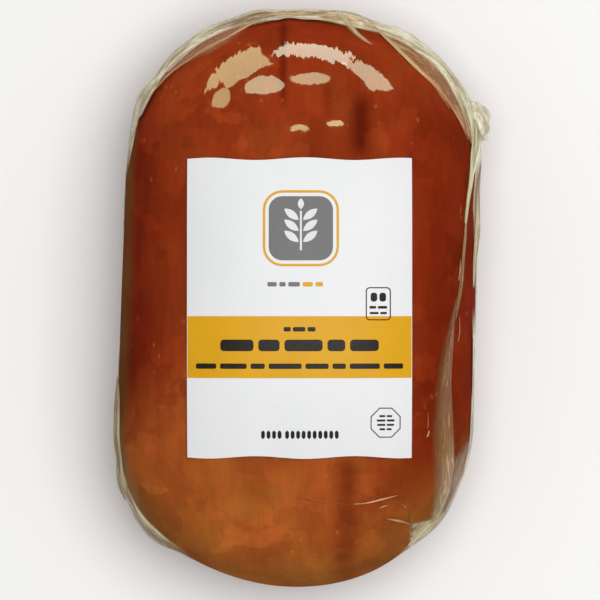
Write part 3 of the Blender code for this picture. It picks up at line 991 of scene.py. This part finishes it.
# The label's print: plain fields and simple shapes, measured from the label's middle.
printSettings = {"ink": 0.00004, "lift": 0.00006, "cell": 0.0022}


def roundedBox(middle, width, height, corner, steps=6):
    points = []
    for sideX, sideY, start in ((1, 1, 0), (-1, 1, 90), (-1, -1, 180), (1, -1, 270)):
        for step in range(steps + 1):
            angle = radians(start + 90 * step / steps)
            points.append((
                middle[0] + sideX * (width / 2 - corner) + corner * cos(angle),
                middle[1] + sideY * (height / 2 - corner) + corner * sin(angle)))
    return points


def leafShape(base, length, width, turnBy, steps=9):
    # a pointed leaf, turned from straight up
    side = [(sin(pi * step / steps) ** 0.8 * width / 2, length * step / steps)
            for step in range(steps + 1)]
    outline = side + [(-x, y) for x, y in reversed(side[1:-1])]
    angle = radians(turnBy)
    return [(base[0] + x * cos(angle) - y * sin(angle),
             base[1] + x * sin(angle) + y * cos(angle)) for x, y in outline]


def barRow(middleY, height, widths, gap, middleX=0.0):
    # a row of rounded bars, centred
    total = sum(widths) + gap * (len(widths) - 1)
    left = middleX - total / 2
    row = []
    for width in widths:
        row.append(roundedBox((left + width / 2, middleY), width, height, height * 0.3, 4))
        left += width + gap
    return row


def makeInkMaterial(name, tone):
    material = newMaterial(name)
    patch = mapRange(objectNoise((60, 60, 60), 2.0), 0.35, 0.65)
    fibre = objectNoise((900, 500, 900), 3.0, 0.6)
    base = linear(tone)
    colour = mixColour(patch, mixed(base, (0, 0, 0), 0.05), base)
    return finishMaterial(material, {
        "Base Color": mixColour(mapRange(fibre, 0.4, 0.7, 0.0, 0.012), colour, (0.8, 0.8, 0.8)),
        "Roughness": 0.45, "Specular IOR Level": 0.2, "Normal": addBump(fibre, 0.00002)})


def layPrint(name, outlines, material, layer=1):
    curve = bpy.data.curves.new(name, "CURVE")
    curve.dimensions = "2D"
    curve.fill_mode = "BOTH"
    for outline in outlines:
        spline = curve.splines.new("POLY")
        spline.points.add(len(outline) - 1)
        for point, (x, y) in zip(spline.points, outline):
            point.co = (x, y, 0.0, 1.0)
        spline.use_cyclic_u = True
    piece = bpy.data.objects.new(name, curve)
    bpy.context.scene.collection.objects.link(piece)
    selectOnly(piece)
    bpy.ops.object.convert(target="MESH")
    piece = bpy.context.active_object
    # cells let the print follow the paper
    cell = printSettings["cell"]
    shape = bmesh.new()
    shape.from_mesh(piece.data)
    bmesh.ops.remove_doubles(shape, verts=shape.verts, dist=0.00001)
    for axis in (0, 1):
        reaches = [vertex.co[axis] / cell for vertex in shape.verts]
        across = Vector((1.0 - axis, float(axis), 0.0))
        for cut in range(ceil(min(reaches) + 0.01), ceil(max(reaches) - 0.01)):
            bmesh.ops.bisect_plane(
                shape, geom=shape.verts[:] + shape.edges[:] + shape.faces[:],
                plane_co=across * cut * cell, plane_no=across, dist=0.000001)
    for face in shape.faces:
        if face.normal.z < 0:
            face.normal_flip()
    lift = labelSize["paper"] + printSettings["lift"] + (layer - 1) * 2 * printSettings["ink"]
    for vertex in shape.verts:
        x = vertex.co.x + labelSize["middle"][0]
        y = vertex.co.y + labelSize["middle"][1]
        vertex.co = Vector((x, y, labelFloor(x, y) + lift)) + crownAt
    shape.to_mesh(piece.data)
    shape.free()
    thicken(piece, "ink", printSettings["ink"], 1)
    finishPiece(piece, material, 40)
    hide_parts("label")


def makePrint():
    yellow = makeInkMaterial("bandYellow", (218, 161, 12))
    grey = makeInkMaterial("plaqueGrey", (112, 112, 113))
    dark = makeInkMaterial("rowInk", (36, 29, 22))
    pale = makeInkMaterial("sprigPale", (222, 222, 222))
    band = roundedBox((0, -0.0176), labelSize["width"] - 0.0002, 0.028, 0.0002, 2)
    layPrint("printBand", [band], yellow)
    plaqueAt = (0.0006, 0.0361)
    layPrint("printPlaque", [roundedBox(plaqueAt, 0.029, 0.029, 0.006)], grey)
    layPrint("printPlaqueRule", [
        roundedBox(plaqueAt, 0.0344, 0.0344, 0.0088), roundedBox(plaqueAt, 0.0322, 0.0322, 0.0077)], yellow)
    sprig = [roundedBox((plaqueAt[0], plaqueAt[1] - 0.001), 0.0009, 0.018, 0.0004, 3)]
    for level in range(3):
        for side in (-1, 1):
            base = (plaqueAt[0] + side * 0.001, plaqueAt[1] - 0.0062 + level * 0.005)
            sprig.append(leafShape(base, 0.0082, 0.0034, -side * 52))
    sprig.append(leafShape((plaqueAt[0], plaqueAt[1] + 0.0086), 0.005, 0.0028, 0))
    layPrint("printSprig", sprig, pale, 2)
    layPrint("printSmallRow", barRow(0.0108, 0.002, (0.0042, 0.0028, 0.0052), 0.0012, -0.0072), grey)
    layPrint("printSmallRowYellow", barRow(0.0108, 0.002, (0.0046, 0.0034), 0.0012, 0.006), yellow)
    layPrint("printBandRows", [
        *barRow(-0.0095, 0.002, (0.0032, 0.0056, 0.0036), 0.001),
        *barRow(-0.0168, 0.0052, (0.015, 0.0096, 0.0172, 0.008, 0.013), 0.0022),
        *barRow(-0.0262, 0.0024, (0.0092, 0.012, 0.0064, 0.0148, 0.0104, 0.006, 0.0136, 0.0088), 0.0018),
    ], dark, 2)
    badgeAt = (0.0356, 0.002)
    layPrint("printBadge", [
        roundedBox(badgeAt, 0.0114, 0.015, 0.0018), roundedBox(badgeAt, 0.0104, 0.014, 0.0014),
        *barRow(0.005, 0.004, (0.003, 0.003), 0.001, badgeAt[0]),
        *barRow(0.0004, 0.0012, (0.003, 0.0042), 0.0008, badgeAt[0]),
        *barRow(-0.0022, 0.001, (0.004, 0.003), 0.0008, badgeAt[0]),
    ], dark)
    stampAt = (0.039, -0.0519)
    stamp = [eightSides(stampAt, 0.0074), eightSides(stampAt, 0.0069)]
    for level, width in ((0.003, 0.006), (0.001, 0.0086), (-0.001, 0.0082), (-0.003, 0.0056)):
        widths = (width * 0.45, width * 0.4)
        stamp += barRow(stampAt[1] + level, 0.0009, widths, 0.0007, stampAt[0])
    layPrint("printStamp", stamp, dark)
    layPrint("printFootRow", [
        *barRow(-0.0573, 0.0038, (0.0017,) * 4, 0.0008, -0.0128),
        *barRow(-0.0573, 0.0038, (0.0017,) * 10, 0.0008, 0.0056),
    ], dark)


def eightSides(middle, reach):
    return [(middle[0] + reach * cos(radians(22.5 + 45 * side)),
             middle[1] + reach * sin(radians(22.5 + 45 * side))) for side in range(8)]


makePrint()
print("print done")

# The studio: floor, camera and lights.
studio = {
    "floorSize": 14.0, "floorTone": (247, 247, 246),
    "cameraHeight": 2.25, "cameraLens": 283.6, "cameraSensor": 36.0, "aim": (0.0008, -0.0009),
    "overheadAt": (0.24, 0.12, 1.6), "overheadSize": 1.3, "overheadPower": 18.5,
    "fill": 0.42,
    "farAway": 2.5, "farBrightness": 8.6, "litFrom": (0.0, 0.105, 0.088),
}

# Lamps beyond the domed end, shown in the film: shape, compass angle, elevation, width, height,
# roll, strength and colour.
farLights = {
    "arcTip": ("ELLIPSE", -34.0, 18.8, 7.8, 9.8, 0.0, 1.0, (0.92, 1.0, 0.5)),
    "arcLeft": ("RECTANGLE", -18.5, 17.6, 21.8, 19.4, 15.0, 1.0, (0.93, 1.0, 0.52)),
    "arcMiddle": ("RECTANGLE", 4.8, 13.0, 17.0, 12.0, -20.0, 1.45, (0.88, 1.0, 0.74)),
    "arcRight": ("RECTANGLE", 19.8, 21.2, 15.0, 10.0, -38.0, 1.15, (0.95, 1.0, 0.66)),
    "leftLamp": ("ELLIPSE", -32.2, 30.4, 11.0, 7.6, -40.0, 0.9, (0.88, 1.0, 0.52)),
    "innerLamp": ("ELLIPSE", -10.2, 33.2, 12.4, 8.8, -10.0, 1.2, (0.9, 1.0, 0.62)),
    "middleLamp": ("ELLIPSE", 3.3, 31.6, 7.4, 6.8, 0.0, 1.1, (0.9, 1.0, 0.6)),
    "rightGlint": ("ELLIPSE", 13.2, 50.2, 4.8, 3.2, 0.0, 1.5, (0.95, 1.0, 0.5)),
    "leftGlint": ("ELLIPSE", -1.1, 52.6, 3.2, 2.0, 0.0, 1.3, (0.95, 1.0, 0.45)),
}


def makeFloor():
    deselectAll()
    bpy.ops.mesh.primitive_plane_add(size=studio["floorSize"], location=(0, 0, -0.0002))
    floor = namedPiece("studioFloor")
    material = newMaterial("paleFloor")
    cloud = mapRange(objectNoise((1.5, 1.5, 1.5), 2.0), 0.3, 0.7)
    tone = linear(studio["floorTone"])
    colour = mixColour(cloud, mixed(tone, (0, 0, 0), 0.015), tone)
    floor.data.materials.append(finishMaterial(material, {
        "Base Color": colour, "Roughness": 0.9, "Specular IOR Level": 0.1}))


def addAreaLight(name, location, facing, shape, size):
    bpy.ops.object.light_add(type="AREA", location=location, rotation=facing.to_euler())
    lamp = bpy.context.active_object
    lamp.name = name
    lamp.data.shape = shape
    lamp.data.size = size
    return lamp


def addFarLight(name, shape, azimuth, elevation, width, height, roll, strength, colour):
    far = studio["farAway"]
    across, up = radians(azimuth), radians(elevation)
    away = Vector((sin(across) * cos(up), cos(across) * cos(up), sin(up)))
    facing = away.to_track_quat("Z", "Y") @ Quaternion((0, 0, 1), radians(roll))
    location = crownAt + Vector(studio["litFrom"]) + far * away
    lamp = addAreaLight(name, location, facing, shape, 2 * far * tan(radians(width) / 2))
    lamp.visible_diffuse = False
    lamp.data.size_y = 2 * far * tan(radians(height) / 2)
    area = lamp.data.size * lamp.data.size_y * (1.0 if shape == "RECTANGLE" else pi / 4)
    lamp.data.energy = strength * studio["farBrightness"] * pi * area
    lamp.data.color = colour


def makeStudio():
    makeFloor()
    bpy.ops.object.camera_add(
        location=(crownAt.x + studio["aim"][0], crownAt.y + studio["aim"][1], studio["cameraHeight"]),
        rotation=(0, 0, 0))
    camera = bpy.context.active_object
    camera.data.lens = studio["cameraLens"]
    camera.data.sensor_width = studio["cameraSensor"]
    scene = bpy.context.scene
    bpy.context.scene.camera = camera
    facing = Vector(studio["overheadAt"]).to_track_quat("Z", "Y")
    overhead = addAreaLight(
        "overheadSoftbox", studio["overheadAt"], facing, "DISK", studio["overheadSize"])
    overhead.data.energy = studio["overheadPower"]
    for name, values in farLights.items():
        addFarLight(name, *values)
    world = bpy.data.worlds.new("paleRoom")
    world.use_nodes = True
    background = world.node_tree.nodes["Background"]
    fill(background, {"Color": (1.0, 1.0, 1.0), "Strength": studio["fill"]})
    world.cycles_visibility.glossy = False
    scene.world = world
    scene.view_settings.view_transform = "Standard"


makeStudio()
print("studio done")
